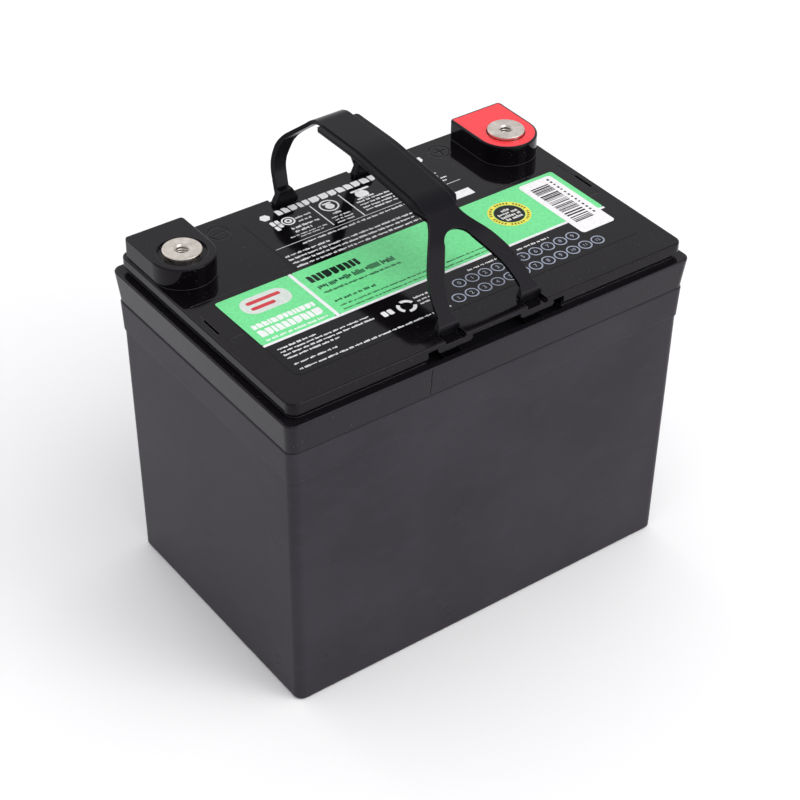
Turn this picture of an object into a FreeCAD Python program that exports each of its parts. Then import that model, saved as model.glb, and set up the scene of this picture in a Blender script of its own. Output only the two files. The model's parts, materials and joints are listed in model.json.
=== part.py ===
import FreeCAD, Part
import os
from math import cos, radians, sin, tan

# A sealed 12 V deep cycle battery with a strap handle. Millimetres, +Z up.
# X runs along the length, Y across the width, and -Y is the front.
# The origin is the middle of the footprint, on the surface that the battery stands on.

# Outside of the case and lid
LENGTH = 196.0
WIDTH = 129.0
CORNER_RADIUS = 4.0
BAND_BOTTOM = 116.2
PARTING = 130.4
PARTING_GAP = 0.3
SKIRT_TOP = 144.2
PANEL_TOP = 151.5
BASE_INSET = 3.2
BODY_TOP_INSET = 1.9
BAND_INSET = 1.5
BAND_TOP_INSET = 1.0
SKIRT_BOTTOM_INSET = 1.3
PANEL_INSET = 2.8
UNDERCUT_TOP = 146.8
UNDERCUT_DEPTH = 1.5
LIP_ROUND = 0.7

# Inside of the case: six cells in a row along X
CELLS = 6
CELL_WALL = 1.8
INNER_HALF_X = 91.3
INNER_HALF_Y = 58.0
FLOOR = 3.5
PLATE_REST = 3.0
WALL_TOP = 139.3
SPIGOT_INSET = 3.4
LID_GROOVE_INSET = 3.1

# Plates, lugs and straps of one cell
POSITIVE_PLATES = 4
NEGATIVE_PLATES = 5
POSITIVE_THICK = 2.5
NEGATIVE_THICK = 1.7
MAT_THICK = 1.2
PLATE_HALF_Y = 54.0
PLATE_TOP = 112.0
MAT_OVERHANG = 2.0
LUG_WIDTH = 10.0
LUG_HEIGHT = 6.0
STRAP_THICK = 6.0
STRAP_WIDTH = 14.0
TAB_THICK = 3.0
TAB_HEIGHT = 9.0
WELD_RADIUS = 4.4

# Terminals in their towers
TERMINAL_X = 80.7
TERMINAL_Y = 36.3
TOWER_RADIUS = 13.5
TOWER_BACK = 58.4
TOWER_TOP = 160.7
TOWER_BORE = 10.0
TOWER_ROOF = 157.5
RIM = 0.9
INSERT_TOP = 162.2
FLANGE_RADIUS = 8.0
FLANGE_SEAT = 159.6
HUB_RADIUS = 5.5
HUB_BOTTOM = 143.0
THREAD_RADIUS = 2.5
THREAD_DEPTH = 14.0
POST_RADIUS = 4.5
RING_RADIUS = 0.95

# Vent trough under the cover plate
DECK = 2.0
COVER_HALF_X = 91.4
COVER_HALF_Y = 13.2
COVER_THICK = 2.2
TROUGH_HALF_X = 88.5
TROUGH_HALF_Y = 10.0
TROUGH_FLOOR = 142.0
CHIMNEY_RADIUS = 5.0
CHIMNEY_BORE = 3.0
CHIMNEY_TOP = 145.6
CAP_RADIUS = 7.0
CAP_WALL = 1.7
CAP_ROOF = 1.4

# Handle, its pockets and slots; the strap leans towards the back
POCKET_HALF_X = 33.0
POCKET_INNER_Y = 52.0
POCKET_FLOOR = 141.0
LIP_BOTTOM = 149.8
LINE_DEPTH = 0.4
FOOT_X = 19.9
FOOT_INNER_Y = 54.4
FOOT_OUTER_Y = 57.2
FOOT_REST = 151.8
FOOT_BEND = 150.5
STEM_WIDTH = 7.0
FOOT_HALF_FRONT = 5.1
FOOT_HALF_BACK = 5.7
FLARE_TOP = 158.0
TOE_BOTTOM = 141.4
TOE_TOP = 143.2
TOE_WIDTH = 8.4
TOE_REACH = 60.8
SLOT_WIDTH = 10.0
SLOT_INNER_Y = 53.8
SLOT_OUTER_Y = 57.7
TAB_BOTTOM = 147.2
TAB_TOP = 149.9
BRIDGE_HALF = 8.2
STRAP_TOP = 189.0
STRAP_BACK = 64.2
STRAP_SHELL = 1.8
GRIP_HALF = 7.4
# Edges of the legs as (distance from the centre line, distance up the strap from the feet)
BACK_LEGS = {"outer": [(22.7, -6), (22.7, 4), (21.8, 13), (20.0, 22), (16.6, 28.5), (12.2, 34),
                       (8.8, 38.5), (GRIP_HALF, 43), (GRIP_HALF, 48)],
             "inner": [(17.1, -6), (17.1, 4), (16.1, 13), (14.3, 20.5), (11.0, 26.5), (6.8, 32)],
             "crotch": 37.5}
FRONT_LEGS = {"outer": [(23.1, -6), (23.1, 4), (22.0, 15), (19.4, 23.5), (16.4, 29.5),
                        (13.2, 34.6), (9.9, 39.5), (GRIP_HALF, 45), (GRIP_HALF, 50)],
              "inner": [(16.7, -6), (16.7, 4.5), (15.8, 12.6), (13.1, 20.7), (10.1, 26.6),
                        (6.8, 32.5)],
              "crotch": 38.0}
LIP_HALF = 10.6
LIP_STEP = 0.7
LIP_THICK = 1.6
LIP_BACK = 46.0

# Printed parts
LABEL_THICK = 0.1
BAR_X = (-83.2, 86.0)
BAR_Y = (-46.8, 10.7)
STEM_X = (-43.6, 51.8)
STEM_TOP = 53.2
BARCODE_X = (65.8, 83.0)
BARCODE_Y = (-34.2, 8.4)
STICKER_TURN = 0.45

EPSILON = 0.01
CELL_WIDTH = (2 * INNER_HALF_X - (CELLS - 1) * CELL_WALL) / CELLS
CELL_PITCH = CELL_WIDTH + CELL_WALL
STRAP_Z = PLATE_TOP + LUG_HEIGHT
PANEL_HALF_X = LENGTH / 2 - PANEL_INSET
PANEL_HALF_Y = WIDTH / 2 - PANEL_INSET


def vec(x, y, z):
    return FreeCAD.Vector(x, y, z)


def box(x, y, z):
    """A box from three (low, high) pairs."""
    corner = vec(x[0], y[0], z[0])
    return Part.makeBox(x[1] - x[0], y[1] - y[0], z[1] - z[0], corner)


def rod(x, y, z, radius):
    """An upright cylinder between the two heights in z."""
    return Part.makeCylinder(radius, z[1] - z[0], vec(x, y, z[0]))


def rounded_rectangle(half_x, half_y, radius, z, centre=(0.0, 0.0)):
    """A closed wire: a rectangle with rounded corners, flat at height z."""
    edges = []
    corners = [(1, 1, 0), (-1, 1, 90), (-1, -1, 180), (1, -1, 270)]
    ends = []
    for sx, sy, start in corners:
        middle = vec(centre[0] + sx * (half_x - radius), centre[1] + sy * (half_y - radius), z)
        arc = [middle + vec(radius * cos(radians(start + a)), radius * sin(radians(start + a)), 0)
               for a in (0, 45, 90)]
        ends.append(arc)
    for this, following in zip(ends, ends[1:] + ends[:1]):
        edges.append(Part.Arc(*this).toShape())
        edges.append(Part.LineSegment(this[2], following[0]).toShape())
    return Part.Wire(edges)


def tapered(low_inset, low_z, high_inset, high_z):
    """A block of the battery's outline, inset by the given amounts at its two heights."""
    wires = []
    for inset, z in ((low_inset, low_z), (high_inset, high_z)):
        half_x = LENGTH / 2 - inset
        half_y = WIDTH / 2 - inset
        wires.append(rounded_rectangle(half_x, half_y, CORNER_RADIUS, z))
    return Part.makeLoft(wires, True, True)


def prism(wire, height):
    return Part.Face(wire).extrude(vec(0, 0, height))


def level_edges(shape, z):
    """The edges that lie flat at height z."""
    return [e for e in shape.Edges if all(abs(v.Z - z) < EPSILON for v in e.Vertexes)]


def round_level(shape, z, radius):
    return shape.makeFillet(radius, level_edges(shape, z))


def cell_centre(cell):
    """The middle of a cell along X; cells are numbered from 1 at the negative end."""
    return (cell - (CELLS + 1) / 2) * CELL_PITCH


def cell_span(cell):
    return (cell_centre(cell) - CELL_WIDTH / 2, cell_centre(cell) + CELL_WIDTH / 2)


def strap_side(cell, positive):
    """The side, +1 back or -1 front, on which a cell carries a strap."""
    odd = cell % 2 == 1
    return -1 if odd == positive else 1


# Case

def case():
    body = round_level(tapered(BASE_INSET, 0, BODY_TOP_INSET, BAND_BOTTOM), 0, 1.5)
    band = tapered(BAND_INSET, BAND_BOTTOM, BAND_TOP_INSET, PARTING - PARTING_GAP)
    band = round_level(band, PARTING - PARTING_GAP, 0.8)
    spigot = tapered(SPIGOT_INSET, BAND_BOTTOM, SPIGOT_INSET, WALL_TOP)
    shell = body.fuse([band, spigot])
    hollows = []
    for cell in range(1, CELLS + 1):
        room = box(cell_span(cell), (-INNER_HALF_Y, INNER_HALF_Y), (FLOOR, WALL_TOP + 1))
        for y in (-22.0, 22.0):
            room = room.cut(box(cell_span(cell), (y - 1.5, y + 1.5), (FLOOR, FLOOR + PLATE_REST)))
        hollows.append(room)
    for wall in range(1, CELLS):
        hollows.append(weld_hole(wall))
    return shell.cut(hollows)


def weld_hole(wall):
    """The round hole, and the lead that fills it, through the partition after cell number wall."""
    start = cell_span(wall)[1]
    y = strap_side(wall, True) * TERMINAL_Y
    z = STRAP_Z + STRAP_THICK + TAB_HEIGHT / 2
    return Part.makeCylinder(WELD_RADIUS, CELL_WALL, vec(start, y, z), vec(1, 0, 0))


# Cells

def plate_slots(cell):
    """Plate and mat positions of a cell: (kind, (x low, x high)) from one side to the other."""
    slots = []
    kinds = []
    for _ in range(POSITIVE_PLATES):
        kinds += ["negative", "mat", "positive", "mat"]
    kinds.append("negative")
    thick = {"negative": NEGATIVE_THICK, "positive": POSITIVE_THICK, "mat": MAT_THICK}
    x = cell_centre(cell) - sum(thick[kind] for kind in kinds) / 2
    for kind in kinds:
        slots.append((kind, (x, x + thick[kind])))
        x += thick[kind]
    return slots


def plates(cell, kind):
    """The plates of one polarity in a cell, each with the lug that its strap is cast on."""
    lug_y = strap_side(cell, kind == "positive") * TERMINAL_Y
    solids = []
    for slot, x in plate_slots(cell):
        if slot != kind:
            continue
        plate = box(x, (-PLATE_HALF_Y, PLATE_HALF_Y), (FLOOR + PLATE_REST, PLATE_TOP))
        lug = box(x, (lug_y - LUG_WIDTH / 2, lug_y + LUG_WIDTH / 2), (PLATE_TOP, STRAP_Z))
        solids.append(plate.fuse(lug).removeSplitter())
    return Part.makeCompound(solids)


def separators(cell):
    """The glass mats between the plates; they stand a little past them at the sides and top."""
    half = PLATE_HALF_Y + MAT_OVERHANG
    top = PLATE_TOP + MAT_OVERHANG
    mats = [box(x, (-half, half), (FLOOR + PLATE_REST, top))
            for slot, x in plate_slots(cell) if slot == "mat"]
    return Part.makeCompound(mats)


def strap(cell, positive):
    """The cast lead bar over the lugs of one polarity, with a tab for the partition weld."""
    slots = plate_slots(cell)
    x = (slots[0][1][0], slots[-1][1][1])
    y = strap_side(cell, positive) * TERMINAL_Y
    width = (y - STRAP_WIDTH / 2, y + STRAP_WIDTH / 2)
    top = STRAP_Z + STRAP_THICK
    bar = box(x, width, (STRAP_Z, top))
    if cell == (CELLS if positive else 1):
        return bar
    # Positive straps reach the next cell's wall, negative straps the one before
    face = cell_span(cell)[1] if positive else cell_span(cell)[0]
    tab_x = (face - TAB_THICK, face) if positive else (face, face + TAB_THICK)
    tab_y = (y - STRAP_WIDTH / 2 + 1, y + STRAP_WIDTH / 2 - 1)
    tab = box(tab_x, tab_y, (STRAP_Z, top + TAB_HEIGHT))
    return bar.fuse(tab).removeSplitter()


# Lid

def tower_outline(x, inset, z):
    """The D of a terminal tower: square at the back, round at the front."""
    radius = TOWER_RADIUS - inset
    back = TOWER_BACK - inset
    left, right = x - radius, x + radius
    bow = Part.Arc(vec(left, TERMINAL_Y, z), vec(x, TERMINAL_Y - radius, z),
                   vec(right, TERMINAL_Y, z))
    corners = [vec(right, TERMINAL_Y, z), vec(right, back, z),
               vec(left, back, z), vec(left, TERMINAL_Y, z)]
    sides = [Part.LineSegment(a, b).toShape() for a, b in zip(corners, corners[1:])]
    return Part.Wire([bow.toShape()] + sides)


def tower(x):
    """One tower, with its back corners and its top edge rounded."""
    block = prism(tower_outline(x, 0, WALL_TOP), TOWER_TOP - WALL_TOP)
    upright = [e for e in block.Edges
               if abs(e.Vertexes[0].Y - TOWER_BACK) < EPSILON
               and abs(e.Vertexes[0].Z - e.Vertexes[-1].Z) > 1]
    return round_level(block.makeFillet(1.6, upright), TOWER_TOP, 0.6)


def tower_cuts(x, positive):
    """The bore for the potting, the post and hub holes, and the seat round the flange."""
    bore = rod(x, TERMINAL_Y, (WALL_TOP + DECK, TOWER_ROOF), TOWER_BORE)
    post = rod(x, TERMINAL_Y, (WALL_TOP - 1, WALL_TOP + DECK + 1), POST_RADIUS + 0.1)
    hub = rod(x, TERMINAL_Y, (TOWER_ROOF - 1, FLANGE_SEAT), HUB_RADIUS + 0.1)
    seat_radius = FLANGE_RADIUS + (0.3 if positive else 2.3)
    seat = rod(x, TERMINAL_Y, (FLANGE_SEAT, TOWER_TOP + 1), seat_radius)
    cuts = [bore, post, hub, seat]
    if positive:
        cuts.append(prism(tower_outline(x, RIM, TOWER_TOP - RIM), RIM + 1))
    return cuts


def head_spaces():
    """The gas space over each cell, clear of the trough, the pockets and the towers."""
    spaces = []
    z = (WALL_TOP - 1, PANEL_TOP - 2.8)
    for cell in range(1, CELLS + 1):
        low, high = cell_span(cell)
        for side in (-1, 1):
            middle = sorted((side * 14.0, side * (POCKET_INNER_Y - 3)))
            spaces.append(box((low, high), middle, z))
            clear = POCKET_HALF_X + 3
            if high <= -clear or low >= clear or cell in (2, CELLS - 1):
                x = (low, min(high, -clear)) if low < 0 else (max(low, clear), high)
                outer = sorted((side * (POCKET_INNER_Y - 3), side * (INNER_HALF_Y - 0.5)))
                spaces.append(box(x, outer, z))
    tubes = [rod(s * TERMINAL_X, TERMINAL_Y, z, TOWER_BORE + 2) for s in (-1, 1)]
    return [space.cut(tubes) for space in spaces]


def trough():
    """The trough for the valves, the rebate that the cover plate drops in, and the pry slits."""
    channel = box((-TROUGH_HALF_X, TROUGH_HALF_X), (-TROUGH_HALF_Y, TROUGH_HALF_Y),
                  (TROUGH_FLOOR, PANEL_TOP + 1))
    rebate = box((-COVER_HALF_X - 0.15, COVER_HALF_X + 0.15),
                 (-COVER_HALF_Y - 0.15, COVER_HALF_Y + 0.15),
                 (PANEL_TOP - COVER_THICK, PANEL_TOP + 1))
    slits = [box(sorted((s * COVER_HALF_X, s * (COVER_HALF_X + 1.1))), (-8.0, 3.0),
                 (PANEL_TOP - COVER_THICK, PANEL_TOP + 1)) for s in (-1, 1)]
    for cell in range(1, CELLS + 1):
        channel = channel.cut(rod(cell_centre(cell), 0, (TROUGH_FLOOR, CHIMNEY_TOP), CHIMNEY_RADIUS))
    bores = [rod(cell_centre(cell), 0, (WALL_TOP - 1, CHIMNEY_TOP + 1), CHIMNEY_BORE)
             for cell in range(1, CELLS + 1)]
    return [channel, rebate] + slits + bores


def pocket(side):
    """The recess under the panel's long edge, less the bridges that hold the handle's toes in."""
    outer = (side * POCKET_INNER_Y, side * PANEL_HALF_Y)
    mouth = (side * POCKET_INNER_Y, side * WIDTH)
    x = (-POCKET_HALF_X, POCKET_HALF_X)
    lower = box(x, sorted(outer), (POCKET_FLOOR, SKIRT_TOP))
    upper = box(x, sorted(mouth), (SKIRT_TOP, LIP_BOTTOM))
    hollow = lower.fuse(upper)
    slots = []
    for foot in (-FOOT_X, FOOT_X):
        bridge = box((foot - BRIDGE_HALF, foot + BRIDGE_HALF),
                     sorted((side * SLOT_OUTER_Y, side * (PANEL_HALF_Y - 0.3))),
                     (TAB_BOTTOM, TAB_TOP))
        under = [e for e in bridge.Edges if abs(e.BoundBox.ZMax - TAB_BOTTOM) < EPSILON
                 and e.BoundBox.YLength > 1]
        bridge = bridge.makeFillet(1.3, under)
        hollow = hollow.cut(bridge)
        gap = (foot - SLOT_WIDTH / 2, foot + SLOT_WIDTH / 2)
        slots.append(box(gap, sorted((side * SLOT_INNER_Y, side * SLOT_OUTER_Y)),
                         (LIP_BOTTOM - 1, PANEL_TOP + 1)))
        slots.append(box(gap, sorted((side * SLOT_OUTER_Y, side * WIDTH)),
                         (TAB_TOP, PANEL_TOP + 1)))
    return [hollow] + slots


def polarity_marks():
    """A ring with a minus beside the negative tower, and one with a plus by the positive."""
    marks = []
    z = (PANEL_TOP - 0.4, PANEL_TOP + 1)
    for x, positive in ((-54.8, False), (56.8, True)):
        y = 51.6
        marks.append(rod(x, y, z, 4.9).cut(rod(x, y, z, 4.3)))
        marks.append(box((x - 3.4, x + 3.4), (y - 0.4, y + 0.4), z))
        if positive:
            marks.append(box((x - 0.4, x + 0.4), (y - 3.4, y + 3.4), z))
    return marks


def lid():
    brim = round_level(tapered(0, SKIRT_TOP - LIP_ROUND, 0, SKIRT_TOP), SKIRT_TOP, LIP_ROUND - EPSILON)
    skirt = tapered(SKIRT_BOTTOM_INSET, PARTING, 0, SKIRT_TOP - LIP_ROUND)
    panel = round_level(tapered(PANEL_INSET, PARTING, PANEL_INSET, PANEL_TOP), PANEL_TOP,
                        LIP_ROUND)
    outside = skirt.fuse([brim, panel] + [tower(s * TERMINAL_X) for s in (-1, 1)])
    groove = tapered(LID_GROOVE_INSET, PARTING - 1, LID_GROOVE_INSET, WALL_TOP)
    undercut = tapered(0, SKIRT_TOP, 0, UNDERCUT_TOP).cut(
        tapered(PANEL_INSET + UNDERCUT_DEPTH, SKIRT_TOP, PANEL_INSET + UNDERCUT_DEPTH, UNDERCUT_TOP))
    cuts = [groove, undercut] + head_spaces() + trough() + pocket(-1) + pocket(1)
    cuts += tower_cuts(-TERMINAL_X, False) + tower_cuts(TERMINAL_X, True)
    cuts += polarity_marks() + mould_lines()
    return outside.cut(cuts)


def mould_lines():
    """The hairline that the mould's insert leaves in the skirt at one end of each pocket."""
    core = tapered(SKIRT_BOTTOM_INSET + LINE_DEPTH, PARTING,
                   LINE_DEPTH, SKIRT_TOP - LIP_ROUND)
    lines = []
    for side in (-1, 1):
        x = side * POCKET_HALF_X
        y = sorted((side * PANEL_HALF_Y, side * WIDTH))
        line = box((x - 0.25, x + 0.25), y, (PARTING + 0.6, SKIRT_TOP - LIP_ROUND))
        lines.append(line.cut(core))
    return lines


def cover_plate():
    z = PANEL_TOP - COVER_THICK
    outline = rounded_rectangle(COVER_HALF_X, COVER_HALF_Y, 1.0, z)
    return prism(outline, COVER_THICK - 0.05)


def valve_cap(cell):
    """A rubber cup that sits over the chimney of one cell."""
    x = cell_centre(cell)
    roof = CHIMNEY_TOP + 0.05
    cup = rod(x, 0, (TROUGH_FLOOR + 0.6, roof + CAP_ROOF), CAP_RADIUS)
    cup = round_level(cup, roof + CAP_ROOF, 0.6)
    return cup.cut(rod(x, 0, (TROUGH_FLOOR, roof), CAP_RADIUS - CAP_WALL))


# Terminals

def terminal(x):
    """A tinned brass insert: a flange to bolt to, and a threaded hub."""
    hub = rod(x, TERMINAL_Y, (HUB_BOTTOM, FLANGE_SEAT), HUB_RADIUS)
    flange = round_level(rod(x, TERMINAL_Y, (FLANGE_SEAT, INSERT_TOP), FLANGE_RADIUS), INSERT_TOP, 0.4)
    bore = rod(x, TERMINAL_Y, (INSERT_TOP - THREAD_DEPTH, INSERT_TOP), THREAD_RADIUS)
    mouth = Part.makeCone(THREAD_RADIUS, THREAD_RADIUS + 0.7, 0.7, vec(x, TERMINAL_Y, INSERT_TOP - 0.7))
    return hub.fuse(flange).cut([bore, mouth]).removeSplitter()


def terminal_post(x):
    return rod(x, TERMINAL_Y, (STRAP_Z + STRAP_THICK, HUB_BOTTOM), POST_RADIUS)


def terminal_seal(x):
    height = TOWER_ROOF - RING_RADIUS
    return Part.makeTorus(HUB_RADIUS + RING_RADIUS + 0.05, RING_RADIUS, vec(x, TERMINAL_Y, height))


def potting(x):
    """Resin poured round the post and hub, up to the seal."""
    low = WALL_TOP + DECK
    high = TOWER_ROOF - 2 * RING_RADIUS
    resin = rod(x, TERMINAL_Y, (low, high), TOWER_BORE)
    hub = rod(x, TERMINAL_Y, (HUB_BOTTOM, high), HUB_RADIUS)
    post = rod(x, TERMINAL_Y, (low, HUB_BOTTOM), POST_RADIUS)
    return resin.cut([hub, post])


def positive_marker():
    """The coloured plate let into the top of the positive tower."""
    plate = prism(tower_outline(TERMINAL_X, RIM + 0.1, TOWER_TOP - RIM), RIM)
    return plate.cut(rod(TERMINAL_X, TERMINAL_Y, (TOWER_TOP - 2, TOWER_TOP + 1), FLANGE_RADIUS + 0.35))


# Printed stickers

def label():
    """A T-shaped sticker: a wide bar with rounded corners and a stem between the towers."""
    bar_half = ((BAR_X[1] - BAR_X[0]) / 2, (BAR_Y[1] - BAR_Y[0]) / 2)
    bar_centre = (sum(BAR_X) / 2, sum(BAR_Y) / 2)
    stem_half = ((STEM_X[1] - STEM_X[0]) / 2, (STEM_TOP - BAR_Y[0]) / 2)
    stem_centre = (sum(STEM_X) / 2, (STEM_TOP + BAR_Y[0]) / 2)
    bar = prism(rounded_rectangle(*bar_half, 3.5, PANEL_TOP, bar_centre), LABEL_THICK)
    stem = prism(rounded_rectangle(*stem_half, 2.0, PANEL_TOP, stem_centre), LABEL_THICK)
    whole = bar.fuse(stem).removeSplitter()
    whole.rotate(vec(0, 0, 0), vec(0, 0, 1), STICKER_TURN)
    return whole


def barcode_sticker():
    half = ((BARCODE_X[1] - BARCODE_X[0]) / 2, (BARCODE_Y[1] - BARCODE_Y[0]) / 2)
    centre = (sum(BARCODE_X) / 2, sum(BARCODE_Y) / 2)
    paper = prism(rounded_rectangle(*half, 1.6, PANEL_TOP + LABEL_THICK, centre), LABEL_THICK)
    paper.rotate(vec(0, 0, 0), vec(0, 0, 1), STICKER_TURN)
    return paper


# Handle

def rounded_path(points, radii):
    """A wire in the YZ plane: straight runs joined by tangent arcs."""
    edges = []
    start = vec(0, *points[0])
    for before, corner, after, radius in zip(points, points[1:], points[2:], radii):
        corner = vec(0, *corner)
        back = (vec(0, *before) - corner).normalize()
        ahead = (vec(0, *after) - corner).normalize()
        half_turn = back.getAngle(ahead) / 2
        reach = radius / tan(half_turn)
        middle = corner + (back + ahead).normalize() * (radius / sin(half_turn) - radius)
        edges.append(Part.LineSegment(start, corner + back * reach).toShape())
        edges.append(Part.Arc(corner + back * reach, middle, corner + ahead * reach).toShape())
        start = corner + ahead * reach
    edges.append(Part.LineSegment(start, vec(0, *points[-1])).toShape())
    return Part.Wire(edges)


def strap_path():
    """The strap's outer face seen from the side, from the back feet to the front feet."""
    points = [(FOOT_OUTER_Y, TOE_TOP), (FOOT_OUTER_Y, FOOT_BEND), (STRAP_BACK, 166.0),
              (STRAP_BACK, 177.4), (52.0, STRAP_TOP), (20.0, STRAP_TOP - 0.1),
              (-20.5, 184.8), (-36.5, 174.2), (-FOOT_OUTER_Y, 154.4), (-FOOT_OUTER_Y, TOE_TOP)]
    return rounded_path(points, [6.0, 18.0, 9.0, 11.0, 90.0, 24.0, 24.0, 1.9])


def strap_band(half_width, depth, thick):
    """The bent strap as a plain ribbon; depth is how far it lies under the outer face."""
    outer = strap_path()
    if depth:
        outer = outer.makeOffset2D(-depth, 0, False, True)
    ribbon = outer.makeOffset2D(-thick, 0, True, True)
    ribbon.translate(vec(-half_width, 0, 0))
    return ribbon.extrude(vec(2 * half_width, 0, 0))


def foot_distances(side):
    """A function that gives the point of the strap at a distance from the foot on one side."""
    edges = strap_path().Edges
    if side < 0:
        edges = edges[::-1]

    def point_at(distance):
        left = distance + FOOT_BEND - TOE_TOP
        for edge in edges:
            if left <= edge.Length:
                break
            left -= edge.Length
        run = left if side > 0 else edge.Length - left
        return edge.valueAt(edge.getParameterByLength(run))
    return point_at


def fork(side, tilt, legs):
    """A forked end: two legs that part below a round crotch.

    The outline is laid out along the strap, then cut square to a plane at the given tilt.
    """
    point_at = foot_distances(side)
    normal = vec(0, side * sin(radians(tilt)), cos(radians(tilt)))

    def place(x, distance):
        point = point_at(distance)
        point.x = x
        return point - normal * point.dot(normal)

    outer, inner = legs["outer"], legs["inner"]
    last = inner[-1]
    crotch = Part.Arc(place(*last), place(0, legs["crotch"]), place(-last[0], last[1]))
    edges = [crotch.toShape()]
    for mirror in (-1, 1):
        for run in (outer, inner):
            curve = Part.BSplineCurve()
            curve.interpolate([place(mirror * x, distance) for x, distance in run])
            edges.append(curve.toShape())
        sole = [place(mirror * x, distance) for x, distance in (outer[0], inner[0])]
        edges.append(Part.LineSegment(*sole).toShape())
    neck = outer[-1]
    edges.append(Part.LineSegment(place(-neck[0], neck[1]), place(*neck)).toShape())
    outline = Part.Face(Part.Wire(Part.__sortEdges__(edges)))
    cutter = outline.extrude(normal * 2 * STRAP_TOP)
    return strap_band(FOOT_X + STEM_WIDTH, 0, STRAP_SHELL).common(cutter)


def grip():
    """The plate between the forks, with a lower lip along each side."""
    plate = strap_band(GRIP_HALF, 0, STRAP_SHELL)
    plate = plate.common(box((-GRIP_HALF, GRIP_HALF), (-24.5, 50.0), (160.0, 200.0)))
    outline = [vec(GRIP_HALF, LIP_BACK, 0), vec(LIP_HALF - 1, LIP_BACK, 0),
               vec(LIP_HALF, LIP_BACK - 1.6, 0), vec(LIP_HALF, -20.0, 0),
               vec(GRIP_HALF - 1, -26.5, 0)]
    outline += [vec(-point.x, point.y, 0) for point in reversed(outline)]
    outline.append(outline[0])
    wings = strap_band(LIP_HALF, LIP_STEP, LIP_THICK)
    wings = wings.common(Part.Face(Part.makePolygon(outline)).extrude(vec(0, 0, 2 * STRAP_TOP)))
    rims = [e for e in wings.Edges
            if all(abs(abs(v.X) - LIP_HALF) < EPSILON and -20.5 < v.Y for v in e.Vertexes)
            and e.BoundBox.YLength > 1]
    return plate.fuse(wings.makeFillet(0.6, rims))


def handle():
    band = grip()
    pieces = [fork(1, 42.0, BACK_LEGS), fork(-1, 40.0, FRONT_LEGS)]
    for side in (-1, 1):
        for foot in (-FOOT_X, FOOT_X):
            pieces.append(foot_block(foot, side))
    return band.fuse(pieces).removeSplitter()


def foot_block(x, side):
    """The stem that drops through the lid's slot, and the toe that hooks under the bridge."""
    depth = sorted((side * FOOT_INNER_Y, side * FOOT_OUTER_Y))
    stem = box((x - STEM_WIDTH / 2, x + STEM_WIDTH / 2), depth, (TOE_BOTTOM, FOOT_REST))
    toe = box((x - TOE_WIDTH / 2, x + TOE_WIDTH / 2),
              sorted((side * FOOT_INNER_Y, side * TOE_REACH)), (TOE_BOTTOM, TOE_TOP))
    half = FOOT_HALF_BACK if side > 0 else FOOT_HALF_FRONT
    outline = [(-half, FOOT_REST), (half, FOOT_REST), (half, 153.2), (3.1, FLARE_TOP),
               (-3.1, FLARE_TOP), (-half, 153.2), (-half, FOOT_REST)]
    flare = Part.Face(Part.makePolygon([vec(x + dx, depth[0], z) for dx, z in outline]))
    flare = flare.extrude(vec(0, depth[1] - depth[0], 0))
    corners = [e for e in flare.Edges if abs(e.BoundBox.YLength - (depth[1] - depth[0])) < EPSILON
               and abs(e.BoundBox.ZMax - 153.2) < 0.1]
    flare = flare.makeFillet(0.8, corners).common(strap_room())
    return stem.fuse([toe, flare])


def strap_room():
    """Everything inside the strap's outer face, so that the feet stay under it."""
    outer = strap_path().Edges
    ends = Part.makePolygon([outer[-1].Vertexes[-1].Point, outer[0].Vertexes[0].Point])
    room = Part.Face(Part.Wire(Part.__sortEdges__(outer + ends.Edges)))
    room.translate(vec(-LENGTH, 0, 0))
    return room.extrude(vec(2 * LENGTH, 0, 0))


def export(shape, name):
    shape.exportStep("parts/" + name + ".step")


def main():
    os.makedirs("parts", exist_ok=True)
    export(case(), "case")
    export(lid(), "lid")
    export(cover_plate(), "cover_plate")
    export(label(), "label")
    export(barcode_sticker(), "barcode_sticker")
    export(positive_marker(), "positive_marker")
    export(handle(), "handle")
    for name, side in (("negative", -1), ("positive", 1)):
        x = side * TERMINAL_X
        export(terminal(x), name + "_terminal")
        export(terminal_post(x), name + "_post")
        export(terminal_seal(x), name + "_terminal_seal")
        export(potting(x), name + "_potting")
    for cell in range(1, CELLS + 1):
        export(valve_cap(cell), f"valve_cap_{cell}")
        export(plates(cell, "positive"), f"positive_plates_{cell}")
        export(plates(cell, "negative"), f"negative_plates_{cell}")
        export(separators(cell), f"separators_{cell}")
        export(strap(cell, True), f"positive_strap_{cell}")
        export(strap(cell, False), f"negative_strap_{cell}")
    for wall in range(1, CELLS):
        export(weld_hole(wall), f"intercell_weld_{wall}")


main()
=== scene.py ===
import bmesh
import bpy
import json
import math
import random
from mathutils import Matrix, Vector


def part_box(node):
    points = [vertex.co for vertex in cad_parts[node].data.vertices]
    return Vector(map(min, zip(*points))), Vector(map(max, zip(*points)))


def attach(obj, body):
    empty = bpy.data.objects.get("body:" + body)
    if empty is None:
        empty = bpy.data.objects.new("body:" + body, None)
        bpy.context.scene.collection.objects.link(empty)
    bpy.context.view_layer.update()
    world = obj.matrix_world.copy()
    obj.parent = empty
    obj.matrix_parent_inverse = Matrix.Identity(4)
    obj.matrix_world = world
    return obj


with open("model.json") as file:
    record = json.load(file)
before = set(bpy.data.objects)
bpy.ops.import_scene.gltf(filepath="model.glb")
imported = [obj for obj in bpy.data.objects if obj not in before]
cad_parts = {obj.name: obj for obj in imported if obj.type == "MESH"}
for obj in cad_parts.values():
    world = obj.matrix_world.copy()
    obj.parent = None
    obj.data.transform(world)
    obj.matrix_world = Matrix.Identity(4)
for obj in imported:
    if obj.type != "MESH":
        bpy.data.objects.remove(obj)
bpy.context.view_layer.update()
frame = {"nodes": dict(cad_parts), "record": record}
MM = 0.001
BODY = "battery"

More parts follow.
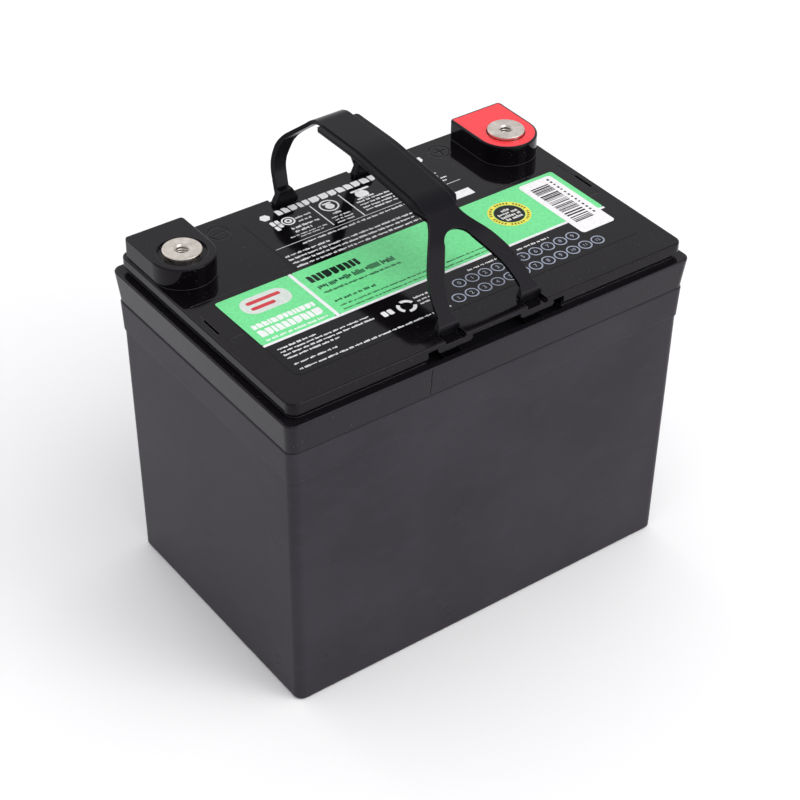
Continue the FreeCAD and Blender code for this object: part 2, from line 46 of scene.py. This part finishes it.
# Camera, fixed at the viewing angle of the reference: degrees, metres
AZIMUTH, ELEVATION, ROLL = -36.37, 37.43, -0.64
CAMERA_AT = (-0.42090, -0.57065, 0.61714)
LENS = 94.86

# Studio: world tones at the horizon and overhead, soft boxes as place, size and power
HORIZON = (1.0, 1.0, 1.0, 1)
OVERHEAD = (0.74, 0.73, 0.76, 1)
SOFTBOXES = (
    ("key_softbox", (0.74, -1.2, 0.75), (0.7, 0.7), 5.4),
    ("fill_softbox", (0.42, -0.95, 1.7), (1.3, 1.1), 9),
    ("rim_softbox", (0.0, 1.5, 1.2), (0.8, 0.8), 3),
)
LIGHTS_AIM = (0, 0, 0.1)
FLOOR_HALF = 6.0


def add_camera():
    a, e, r = (math.radians(v) for v in (AZIMUTH, ELEVATION, ROLL))
    back = Vector((math.sin(a) * math.cos(e), -math.cos(a) * math.cos(e), math.sin(e)))
    level = (-back).cross(Vector((0, 0, 1))).normalized()
    down = (-back).cross(level)
    right = level * math.cos(r) + down * math.sin(r)
    up = level * math.sin(r) - down * math.cos(r)
    data = bpy.data.cameras.new("camera")
    data.lens = LENS
    data.clip_start, data.clip_end = 0.01, 50
    cam = bpy.data.objects.new("camera", data)
    turn = Matrix((right, up, back)).transposed().to_4x4()
    cam.matrix_world = Matrix.Translation(CAMERA_AT) @ turn
    bpy.context.scene.collection.objects.link(cam)
    bpy.context.scene.camera = cam


def add_light(name, place, size, power):
    data = bpy.data.lights.new(name, "AREA")
    data.shape = "RECTANGLE"
    data.size, data.size_y = size
    data.energy = power
    lamp = bpy.data.objects.new(name, data)
    lamp.location = place
    lamp.rotation_mode = "QUATERNION"
    lamp.rotation_quaternion = (Vector(LIGHTS_AIM) - Vector(place)).to_track_quat("-Z", "Y")
    bpy.context.scene.collection.objects.link(lamp)


def add_studio():
    """White surroundings that are a little darker overhead, soft boxes, and a pale floor."""
    bpy.context.scene.view_settings.view_transform = "Standard"
    world = bpy.data.worlds.new("studio")
    world.use_nodes = True
    tree = world.node_tree
    height = tree.nodes.new("ShaderNodeSeparateXYZ")
    tree.links.new(tree.nodes.new("ShaderNodeTexCoord").outputs["Generated"], height.inputs[0])
    ramp = tree.nodes.new("ShaderNodeValToRGB")
    tree.links.new(height.outputs["Z"], ramp.inputs["Fac"])
    low, high = ramp.color_ramp.elements
    low.position, low.color = 0.52, HORIZON
    high.position, high.color = 0.82, OVERHEAD
    tree.links.new(ramp.outputs["Color"], tree.nodes["Background"].inputs["Color"])
    bpy.context.scene.world = world
    for softbox in SOFTBOXES:
        add_light(*softbox)
    add_floor()


def add_floor():
    mesh = bpy.data.meshes.new("floor")
    r = FLOOR_HALF
    mesh.from_pydata([(-r, -r, 0), (r, -r, 0), (r, r, 0), (-r, r, 0)], [], [(0, 1, 2, 3)])
    floor = bpy.data.objects.new("floor", mesh)
    bpy.context.scene.collection.objects.link(floor)
    mat = bpy.data.materials.new("studio_floor")
    mat.use_nodes = True
    shader = mat.node_tree.nodes["Principled BSDF"]
    shader.inputs["Base Color"].default_value = (0.97, 0.97, 0.97, 1)
    shader.inputs["Roughness"].default_value = 0.9
    shader.inputs["Specular IOR Level"].default_value = 0.1
    mesh.materials.append(mat)


# Materials

VIOLET = (0.97, 0.91, 1.0, 1.0)
SKIRT_BELOW_LABEL = 0.0068
SKIRT_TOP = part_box("label")[0][2] - SKIRT_BELOW_LABEL


class Shader:
    """A Principled material whose node tree is grown a few nodes at a time."""

    def __init__(self, name, **values):
        self.mat = bpy.data.materials.new(name)
        self.mat.use_nodes = True
        self.tree = self.mat.node_tree
        self.out = self.tree.nodes["Principled BSDF"]
        for key, value in values.items():
            self.out.inputs[key.replace("_", " ")].default_value = value

    def node(self, kind, **inputs):
        made = self.tree.nodes.new(kind)
        for key, value in inputs.items():
            self.feed(made, key.replace("_", " "), value)
        return made

    def feed(self, node, key, value):
        socket = node.inputs[int(key) if key.isdigit() else key]
        if isinstance(value, bpy.types.NodeSocket):
            self.tree.links.new(value, socket)
        else:
            socket.default_value = value

    def noise(self, scale, detail=3.0, rough=0.5, stretch=None):
        where = self.node("ShaderNodeTexCoord").outputs["Object"]
        if stretch:
            where = self.node("ShaderNodeMapping", Vector=where, Scale=stretch).outputs[0]
        made = self.node("ShaderNodeTexNoise", Vector=where, Scale=scale, Detail=detail,
                         Roughness=rough)
        return made.outputs["Fac"]

    def below(self, level, fade=0.0012):
        """1 on the parts of the surface lower than a level, 0 above it."""
        where = self.node("ShaderNodeTexCoord").outputs["Object"]
        parts = self.node("ShaderNodeSeparateXYZ", Vector=where)
        return self.span(parts.outputs["Z"], 1.0, 0.0, level - fade, level)

    def span(self, value, low, high, start=0.3, end=0.7):
        made = self.node("ShaderNodeMapRange", Value=value)
        for key, number in (("From Min", start), ("From Max", end),
                            ("To Min", low), ("To Max", high)):
            made.inputs[key].default_value = number
        return made.outputs["Result"]

    def blend(self, fac, first, second):
        made = self.tree.nodes.new("ShaderNodeMix")
        made.data_type = "RGBA"
        self.feed(made, "0", fac)
        for index, colour in ((6, first), (7, second)):
            self.feed(made, str(index), colour)
        return made.outputs[2]

    def edges(self, radius):
        """1 along convex edges, 0 on the faces, from how far a rounded normal turns away."""
        bevel = self.node("ShaderNodeBevel", Radius=radius)
        bevel.samples = 4
        plain = self.node("ShaderNodeNewGeometry").outputs["Normal"]
        dot = self.tree.nodes.new("ShaderNodeVectorMath")
        dot.operation = "DOT_PRODUCT"
        self.feed(dot, "0", bevel.outputs[0])
        self.feed(dot, "1", plain)
        return self.span(dot.outputs["Value"], 1.0, 0.0, 0.72, 0.99), bevel.outputs[0]

    def bump(self, height, distance, strength=1.0, normal=None):
        made = self.node("ShaderNodeBump", Height=height, Distance=distance, Strength=strength)
        if normal is not None:
            self.feed(made, "Normal", normal)
        self.feed(self.out, "Normal", made.outputs[0])

    def colour(self, socket):
        self.feed(self.out, "Base Color", socket)

    def roughness(self, socket):
        self.feed(self.out, "Roughness", socket)


def rgb(r, g, b):
    """sRGB 0-255 to the linear colour that the shader wants."""
    def linear(v):
        v /= 255
        return v / 12.92 if v <= 0.04045 else ((v + 0.055) / 1.055) ** 2.4
    return (linear(r), linear(g), linear(b), 1.0)


MATT_GREY = rgb(31, 29, 33)
DUST_GREY = rgb(150, 148, 150)


def plastic(name, dark, light, rough, grain, depth, edge=0.0004, coat=0.0, shine=0.5, dust=0.0,
            tint=(1.0, 1.0, 1.0, 1.0), matt_below=None):
    """Moulded plastic: cloudy colour, flow marks in the gloss, fine grain, edges painted pale as a
    highlight.

    Below the level given, the wall is the dull grey that a textured mould leaves."""
    s = Shader(name, Coat_Weight=coat, Coat_Roughness=0.06, Specular_IOR_Level=shine,
               Specular_Tint=tint)
    cloud = s.noise(18.0, 4.0)
    # Edge mask for the painted edge highlight, and the rounded normal for the bump
    edge_highlight_mask, soft = s.edges(edge)
    tone = s.blend(s.span(cloud, 0.0, 1.0), dark, light)
    rubbed = tuple(min(1.0, c * 1.35 + 0.002) for c in light[:3]) + (1.0,)
    smear = s.noise(150.0, 6.0, 0.7, (0.5, 0.5, 1.0))
    tone = s.blend(s.span(smear, 0.0, 0.3, 0.5, 0.75), tone, rubbed)
    finish = s.span(s.noise(34.0, 3.0), rough - 0.03, rough + 0.04)
    if matt_below:
        side = s.below(matt_below)
        tone = s.blend(side, tone, MATT_GREY)
        finish = s.span(side, rough, rough + 0.16, 0.0, 1.0)
    if dust:
        speck = s.span(s.noise(1500.0, 2.0), 0.0, dust, 0.7, 0.78)
        tone = s.blend(speck, tone, DUST_GREY)
    # Painted highlight: convex edges get a pale colour that stands in for light caught on the
    # rounded edges
    painted_highlight_colour = tuple(min(1.0, c * 1.6 + 0.05) for c in light[:3]) + (1.0,)
    s.colour(s.blend(edge_highlight_mask, tone, painted_highlight_colour))
    s.roughness(finish)
    s.bump(s.noise(grain, 2.0), depth, 1.0, soft)
    return s.mat


def print_ink(name, colour, rough=0.22):
    """Ink on the label film: slightly mottled, with a fine grain in its surface."""
    s = Shader(name, Specular_IOR_Level=0.16, Specular_Tint=VIOLET)
    speck = s.noise(900.0, 3.0)
    shade = tuple(c * 0.86 for c in colour[:3]) + (1.0,)
    s.colour(s.blend(s.span(speck, 0.0, 1.0), shade, colour))
    s.roughness(s.span(s.noise(120.0), rough - 0.02, rough + 0.03))
    s.bump(s.noise(300.0, 2.0), 0.000002)
    return s.mat


def metal(name, low, high, rough, scale, depth, metallic=1.0):
    """Cast, tinned or machined metal with handling marks."""
    s = Shader(name, Metallic=metallic)
    patch = s.noise(scale, 5.0, 0.6)
    s.colour(s.blend(s.span(patch, 0.0, 1.0), low, high))
    s.roughness(s.span(s.noise(scale * 2.3, 4.0), rough - 0.08, rough + 0.12))
    edge_highlight_mask, soft = s.edges(0.0003)
    s.bump(s.noise(scale * 5, 4.0), depth, 1.0, soft)
    return s.mat


def fibre(name, low, high):
    """Matted glass fibre: fine crossed threads in two directions."""
    s = Shader(name, Roughness=0.9, Sheen_Weight=0.3)
    first = s.noise(700.0, 4.0, 0.6, (0.1, 1.0, 0.2))
    second = s.noise(700.0, 4.0, 0.6, (0.1, 0.2, 1.0))
    height = s.node("ShaderNodeMath")
    height.operation = "MAXIMUM"
    s.feed(height, "0", first)
    s.feed(height, "1", second)
    s.colour(s.blend(s.span(height.outputs[0], 0.0, 1.0), low, high))
    s.bump(height.outputs[0], 0.0002)
    return s.mat


MATERIALS = {
    "case_plastic": plastic("case_satin", rgb(48, 45, 51), rgb(56, 53, 59), 0.3, 800.0, 0.000008,
                            shine=0.06),
    "lid_plastic": plastic("lid_gloss", rgb(8, 6, 9), rgb(14, 11, 15), 0.08, 500.0, 0.000003,
                           shine=0.16, dust=0.3, tint=VIOLET, matt_below=SKIRT_TOP),
    "cover_plastic": plastic("cover_gloss", rgb(8, 6, 9), rgb(14, 11, 15), 0.09, 500.0, 0.000003,
                             shine=0.16, tint=VIOLET),
    "handle_plastic": plastic("handle_satin", rgb(8, 7, 10), rgb(14, 13, 17), 0.26, 1300.0,
                              0.00001, shine=0.12, tint=VIOLET),
    "label_film": print_ink("label_film", rgb(12, 10, 13), 0.08),
    "sticker_paper": print_ink("sticker_paper", rgb(244, 242, 243), 0.4),
    "marker_red": plastic("marker_red", rgb(240, 8, 34), rgb(246, 18, 42), 0.2, 900.0, 0.00001,
                          0.0003, 0.15),
    "tinned_brass": metal("tin_plate", rgb(184, 177, 169), rgb(220, 212, 205), 0.3, 260.0, 0.00002),
    "lead": metal("cast_lead", rgb(92, 94, 99), rgb(124, 126, 132), 0.55, 180.0, 0.00008),
    "seal_rubber": plastic("seal_rubber", rgb(14, 14, 14), rgb(22, 22, 22), 0.6, 1200.0, 0.00003),
    "potting_resin": plastic("potting_resin", rgb(120, 22, 18), rgb(146, 30, 24), 0.25, 300.0,
                             0.00002),
    "valve_rubber": plastic("valve_rubber", rgb(20, 20, 21), rgb(30, 30, 31), 0.6, 1200.0, 0.00003),
    "positive_paste": metal("positive_paste", rgb(72, 42, 30), rgb(98, 60, 44), 0.85, 420.0, 0.0001,
                            0.0),
    "negative_paste": metal("negative_paste", rgb(104, 106, 108), rgb(132, 134, 136), 0.8, 420.0,
                            0.0001, 0.0),
    "glass_mat": fibre("glass_mat", rgb(205, 205, 200), rgb(240, 240, 236)),
}


def dress_nodes():
    slots = {row["node"]: row["material_slot"] for row in frame["record"]["subparts"]}
    for node, piece in frame["nodes"].items():
        piece.data.materials.clear()
        piece.data.materials.append(MATERIALS[slots[node]])


# Printed artwork: closed slabs of ink, thinner than a hair, on the label

INK = 0.04  # thickness of one layer, in mm as all of the artwork
BAND_Y = (-23.4, 10.4)
BAND_LEFT, BAND_RIGHT = (-83.0, -48.9), (-47.4, 85.6)
RULE_LOW = -24.7
BADGE_X, BADGE_Y = 50.4, -5.4
DATE_PITCH = 6.43
DATE_ROWS = ((2.8, -33.3, 0, 10), (-3.5, -41.3, 1, 12))  # x, y, first figure, how many
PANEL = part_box("label")[1][2] / MM
TURN = math.radians(0.45)  # the label sits this much askew, as in the CAD


def rounded(x0, x1, y0, y1, radius=0.0):
    """Corner points of a bar, rounded where a radius is given."""
    if radius <= 0:
        return [(x0, y0), (x1, y0), (x1, y1), (x0, y1)]
    points = []
    for cx, cy, start in ((x1 - radius, y0 + radius, -90), (x1 - radius, y1 - radius, 0),
                          (x0 + radius, y1 - radius, 90), (x0 + radius, y0 + radius, 180)):
        for step in range(5):
            a = math.radians(start + step * 22.5)
            points.append((cx + radius * math.cos(a), cy + radius * math.sin(a)))
    return points


def circle(x, y, radius, sides=40):
    turn = [2 * math.pi * k / sides for k in range(sides)]
    return [(x + radius * math.cos(a), y + radius * math.sin(a)) for a in turn]


class Print:
    """One ink: outlines are collected, then made into a single closed mesh."""

    def __init__(self, name, material, slot, level=0.0, base=None):
        self.name, self.material, self.slot = name, material, slot
        low = (PANEL if base is None else base) + level
        self.z = (low, low + INK)
        self.bm = bmesh.new()

    def ring_of(self, outline):
        low = [self.bm.verts.new((x, y, self.z[0])) for x, y in outline]
        high = [self.bm.verts.new((x, y, self.z[1])) for x, y in outline]
        return low, high

    def skirt(self, low, high):
        count = len(low)
        for i in range(count):
            j = (i + 1) % count
            self.bm.faces.new((low[i], low[j], high[j], high[i]))

    def solid(self, outline):
        low, high = self.ring_of(outline)
        self.bm.faces.new(high)
        self.bm.faces.new(low[::-1])
        self.skirt(low, high)

    def hollow(self, outer, inner):
        """A band between two outlines with the same number of points."""
        outer_low, outer_high = self.ring_of(outer)
        inner_low, inner_high = self.ring_of(inner)
        self.skirt(outer_low, outer_high)
        self.skirt(inner_low[::-1], inner_high[::-1])
        count = len(outer)
        for i in range(count):
            j = (i + 1) % count
            self.bm.faces.new((outer_high[i], outer_high[j], inner_high[j], inner_high[i]))
            self.bm.faces.new((outer_low[j], outer_low[i], inner_low[i], inner_low[j]))

    def bar(self, x0, x1, y0, y1, radius=0.0):
        self.solid(rounded(x0, x1, y0, y1, radius))

    def ring(self, x, y, outer, inner):
        self.hollow(circle(x, y, outer), circle(x, y, inner))

    def words(self, x0, x1, y0, y1, seed, stroke=0.46):
        """A line of filler: short upright strokes in groups the length of words, no lettering."""
        pick = random.Random(seed)
        tall = y1 - y0
        x = x0
        while x < x1 - 2 * stroke:
            for _ in range(pick.randint(2, 7)):
                if x > x1 - stroke:
                    break
                kind = pick.random()
                low = y0 + (0.0 if kind < 0.8 else tall * 0.28)
                high = y1 - (0.0 if kind < 0.35 else tall * 0.26)
                wide = stroke * (1.0 if kind < 0.6 else 1.7)
                self.bar(x, min(x + wide, x1), low, high)
                x += wide + stroke * 0.45
            x += stroke * 1.3

    def heading(self, x0, x1, y0, y1, seed, widths, gap):
        """Heavy filler in place of large print: blocks of uneven width with clipped corners."""
        pick = random.Random(seed)
        cut = (y1 - y0) * 0.28
        x = x0
        while x < x1 - widths[0]:
            end = min(x + pick.uniform(*widths), x1)
            if x1 - end < widths[0]:
                end = x1
            clip = min(cut, (end - x) * 0.4)
            if pick.random() < 0.5:
                self.solid([(x, y0), (end - clip, y0), (end, y0 + clip), (end, y1), (x, y1)])
            else:
                self.solid([(x, y0), (end, y0), (end, y1 - clip), (end - clip, y1), (x, y1)])
            x = end + gap

    def finish(self):
        bmesh.ops.recalc_face_normals(self.bm, faces=self.bm.faces)
        mesh = bpy.data.meshes.new(self.name)
        bmesh.ops.scale(self.bm, vec=(MM, MM, MM), verts=self.bm.verts)
        bmesh.ops.rotate(self.bm, matrix=Matrix.Rotation(TURN, 3, "Z"), verts=self.bm.verts)
        self.bm.to_mesh(mesh)
        self.bm.free()
        mesh.materials.append(self.material)
        piece = bpy.data.objects.new(self.name, mesh)
        bpy.context.scene.collection.objects.link(piece)
        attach(piece, BODY)


def print_green():
    ink = Print("print_green", print_ink("ink_green", rgb(118, 226, 150)), "label_film")
    ink.bar(*BAND_LEFT, *BAND_Y, 1.2)
    ink.bar(*BAND_RIGHT, *BAND_Y, 1.2)
    ink.finish()


def print_white():
    """White ink on the bare film: the band's rules and the filler around it."""
    ink = Print("print_white", print_ink("ink_white", rgb(238, 238, 240)), "label_film")
    ink.bar(BAND_LEFT[1], BAND_RIGHT[0], *BAND_Y)
    ink.bar(BAND_LEFT[0], BAND_RIGHT[1], RULE_LOW, BAND_Y[0])
    ink.solid(circle(-33.2, 50.2, 2.4, 6))
    ink.heading(-27.4, 47.2, 48.6, 52.4, 3, (2.0, 4.2), 0.7)
    # Pictogram fields, with plain shapes in place of the pictograms
    ink.bar(-13.2, -12.7, 29.6, 47.4)
    ink.bar(1.3, 1.8, 27.8, 47.6)
    for x0, y0 in ((-34.0, 42.9), (-31.7, 42.9), (-34.0, 39.0), (-31.7, 40.4)):
        ink.bar(x0, x0 + 1.8, y0, y0 + 3.2, 0.5)
    ink.ring(-26.5, 43.0, 3.0, 2.3)
    ink.ring(-26.5, 43.0, 1.6, 0.7)
    ink.ring(-6.2, 43.0, 4.3, 3.6)
    ink.solid(circle(-6.2, 42.4, 2.0))
    ink.bar(-8.4, -4.2, 44.4, 45.4, 0.4)
    ink.solid(circle(10.2, 42.6, 3.0))
    ink.bar(6.6, 15.8, 45.2, 46.4, 0.5)
    ink.bar(6.0, 14.2, 39.4, 40.2, 0.3)
    for row, (x0, x1, y0, y1) in enumerate((
            (-23.0, -15.0, 42.5, 43.7), (-23.0, -16.6, 39.8, 41.0), (-28.6, -15.4, 36.4, 37.9),
            (-28.6, -20.0, 33.8, 35.2), (-32.6, -14.6, 31.6, 32.3), (-28.6, -17.6, 30.1, 30.7),
            (-8.4, -4.4, 36.2, 37.7), (-10.8, -1.8, 33.8, 34.8), (-10.4, -1.4, 31.8, 32.7),
            (-10.8, -2.0, 29.8, 30.7), (4.4, 46.0, 37.4, 38.5), (4.4, 44.6, 35.1, 36.2),
            (4.4, 47.2, 32.8, 33.9), (4.4, 45.8, 30.6, 31.7))):
        ink.words(x0, x1, y0, y1, row)
    for row, (x0, x1, y0, y1) in enumerate((
            (-31.0, 34.0, 25.2, 26.3), (-42.4, -20.8, 20.8, 22.0), (-42.4, 34.0, 18.1, 19.3),
            (-42.4, 34.5, 15.4, 16.6), (-42.4, 32.0, 12.5, 13.7))):
        ink.words(x0, x1, y0, y1, 20 + row)
    ink.bar(-42.6, 50.6, 27.8, 28.05)
    ink.bar(38.8, 49.3, 15.9, 20.9, 0.2)
    # Lower left, then the lines over the date rings
    for row, (x0, x1, y0, y1) in enumerate((
            (-79.8, -62.4, -29.3, -28.2), (-79.8, -38.2, -31.5, -30.5),
            (-79.8, -38.0, -33.7, -32.7), (-79.8, -56.2, -36.0, -35.0),
            (-79.8, -60.0, -40.5, -39.5), (-79.8, -9.0, -44.2, -43.2),
            (-18.0, -10.8, -31.7, -30.6), (-18.0, -9.8, -34.1, -33.1),
            (-18.0, -11.8, -36.3, -35.4), (10.8, 27.8, -28.8, -27.8),
            (36.0, 52.6, -28.8, -27.8))):
        ink.words(x0, x1, y0, y1, 50 + row)
    ink.bar(-34.6, -32.4, -35.2, -31.8, 0.6)
    ink.bar(-31.8, -29.6, -35.2, -31.8, 0.6)
    for side in range(3):
        start = 2 * math.pi * side / 3
        sweep = [start + math.radians(16 + 11 * k) for k in range(9)]
        ink.solid([(-23.4 + 4.1 * math.cos(a), -34.0 + 4.1 * math.sin(a)) for a in sweep]
                  + [(-23.4 + 2.6 * math.cos(a), -34.0 + 2.6 * math.sin(a)) for a in sweep[::-1]])
    ink.finish()


def print_band_white():
    """White filler over the green, left of the divider."""
    ink = Print("print_band_white", print_ink("ink_band_white", rgb(240, 242, 240)), "label_film",
                INK)
    ink.heading(-79.9, -51.4, -13.2, -10.2, 5, (1.0, 2.5), 0.4)
    ink.heading(-79.9, -51.4, -18.9, -14.5, 6, (1.4, 3.4), 0.5)
    ink.words(-79.9, -51.4, -22.0, -20.7, 31, 0.55)
    ink.finish()


def print_rings():
    """Date rings in two rows: ten for the year's last figure and twelve for the month."""
    ink = Print("print_rings", print_ink("ink_grey", rgb(158, 166, 184)), "label_film")
    for x, y, _, count in DATE_ROWS:
        for k in range(count):
            ink.ring(x + DATE_PITCH * k, y, 2.9, 2.35)
    ink.finish()
    figures = Print("print_figures", ink.material, "label_film")
    for x, y, first, count in DATE_ROWS:
        for k in range(count):
            add_figure(figures.bm, str(first + k), x + DATE_PITCH * k, y)
    bmesh.ops.remove_doubles(figures.bm, verts=figures.bm.verts, dist=1e-4)
    figures.finish()


def add_figure(bm, text, x, y):
    """A plain number, from the built-in font, as a closed slab of ink."""
    font = bpy.data.curves.new("figure", "FONT")
    font.body = text
    font.size = 3.0 if len(text) == 1 else 2.4
    font.align_x, font.align_y = "CENTER", "CENTER"
    font.extrude = INK / 2
    font.resolution_u = 3
    shape = bpy.data.objects.new("figure", font)
    mesh = bpy.data.meshes.new_from_object(shape)
    mesh.transform(Matrix.Translation((x, y, PANEL + INK / 2)))
    bm.from_mesh(mesh)
    bpy.data.objects.remove(shape)
    bpy.data.meshes.remove(mesh)
    bpy.data.curves.remove(font)


def print_dark():
    """Dark filler over the green, right of the divider: one heavy row and five fine ones."""
    ink = Print("print_dark", print_ink("ink_dark", rgb(20, 38, 28)), "label_film", INK)
    ink.heading(-44.2, -18.6, 0.2, 4.9, 8, (1.6, 3.4), 0.55)
    ink.finish()
    fine = Print("print_dark_lines", print_ink("ink_dark_lines", rgb(24, 66, 44)), "label_film",
                 INK)
    for row, (x0, x1, y0, y1, stroke) in enumerate((
            (-44.0, -7.0, -5.3, -2.2, 0.62), (-44.0, -7.0, -8.7, -7.4, 0.4),
            (-44.0, -23.8, -15.8, -14.4, 0.62), (-44.0, 34.0, -19.3, -18.4, 0.4),
            (-44.0, 34.0, -21.9, -21.1, 0.4))):
        fine.words(x0, x1, y0, y1, 80 + row, stroke)
    fine.finish()


def print_badges():
    """The round badge, and a plain oval with two bars at the label's left end."""
    yellow = Print("print_yellow", print_ink("ink_yellow", rgb(236, 226, 84)), "label_film", INK)
    yellow.ring(BADGE_X, BADGE_Y, 9.1, 6.7)
    yellow.finish()
    dashes = Print("print_badge_dashes", print_ink("ink_dashes", rgb(92, 88, 30)), "label_film",
                   2 * INK)
    for k in range(36):
        if k % 12 in (5, 11):
            continue
        a = 2 * math.pi * k / 36
        across = Vector((math.cos(a), math.sin(a)))
        along = Vector((-across.y, across.x)) * 0.34
        middle = Vector((BADGE_X, BADGE_Y))
        near, far = middle + across * 7.4, middle + across * 8.4
        dashes.solid([near - along, far - along, far + along, near + along])
    dashes.finish()
    black = Print("print_badge", print_ink("ink_black", rgb(18, 20, 20)), "label_film", INK)
    black.solid(circle(BADGE_X, BADGE_Y, 6.5))
    black.finish()
    white = Print("print_badge_lines", print_ink("ink_badge", rgb(226, 228, 224)), "label_film",
                  2 * INK)
    for row, (y, half) in enumerate(((-2.2, 1.9), (-4.4, 5.0), (-6.6, 5.0), (-8.8, 4.0))):
        white.words(BADGE_X - half, BADGE_X + half, y - 0.8, y + 0.8, 40 + row, 0.62)
    white.finish()
    plate = Print("print_emblem_ground", print_ink("ink_emblem", rgb(214, 222, 216)), "label_film",
                  INK)
    plate.bar(-76.6, -54.6, -5.0, 6.2, 5.2)
    plate.finish()
    red = Print("print_emblem", print_ink("ink_red", rgb(206, 62, 70)), "label_film", 2 * INK)
    red.bar(-73.4, -57.8, 1.6, 3.6, 0.9)
    red.bar(-73.4, -62.4, -2.4, -0.4, 0.9)
    red.finish()


def print_barcode():
    """Bars of random widths, with no code in them, and a row of marks beside them."""
    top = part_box("barcode_sticker")[1][2] / MM
    ink = Print("print_barcode", print_ink("ink_code", rgb(34, 34, 38)), "sticker_paper", 0.0, top)
    pick = random.Random(7)
    y = 3.4
    while y > -27.0:
        thick = pick.choice((0.3, 0.5, 0.7, 0.95))
        ink.bar(68.6, 78.0, y - thick, y)
        y -= thick + pick.choice((0.35, 0.55, 0.8, 1.1))
    for mark in range(14):
        high = 6.4 - 2.3 * mark
        ink.bar(79.6, 80.6, high - pick.uniform(0.7, 1.3), high)
    ink.finish()


THREAD_PITCH, THREAD_TURNS, THREAD_SIDES = 0.001, 11, 28
THREAD_OUTER, THREAD_INNER, THREAD_FLANK = 0.00262, 0.00226, 0.00042
THREAD_START = 0.0012  # under the top of the insert


def add_threads():
    """A right-hand thread in each terminal insert."""
    for name in ("negative", "positive"):
        low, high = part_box(name + "_terminal")
        x, y = (low[0] + high[0]) / 2, (low[1] + high[1]) / 2
        bm = bmesh.new()
        rings = []
        for k in range(THREAD_TURNS * THREAD_SIDES + 1):
            a = 2 * math.pi * k / THREAD_SIDES
            z = high[2] - THREAD_START - THREAD_PITCH * k / THREAD_SIDES
            profile = ((THREAD_OUTER, THREAD_FLANK), (THREAD_INNER, 0.0),
                       (THREAD_OUTER, -THREAD_FLANK))
            rings.append([bm.verts.new((x + r * math.cos(a), y - r * math.sin(a), z + dz))
                          for r, dz in profile])
        for first, second in zip(rings, rings[1:]):
            for i in range(3):
                j = (i + 1) % 3
                bm.faces.new((first[i], first[j], second[j], second[i]))
        bm.faces.new(rings[0][::-1])
        bm.faces.new(rings[-1])
        bmesh.ops.recalc_face_normals(bm, faces=bm.faces)
        mesh = bpy.data.meshes.new(name + "_thread")
        bm.to_mesh(mesh)
        bm.free()
        mesh.materials.append(MATERIALS["tinned_brass"])
        piece = bpy.data.objects.new(name + "_thread", mesh)
        bpy.context.scene.collection.objects.link(piece)
        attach(piece, BODY)


add_camera()
add_studio()
dress_nodes()
print_green()
print_white()
print_band_white()
print_rings()
print_dark()
print_badges()
print_barcode()
add_threads()
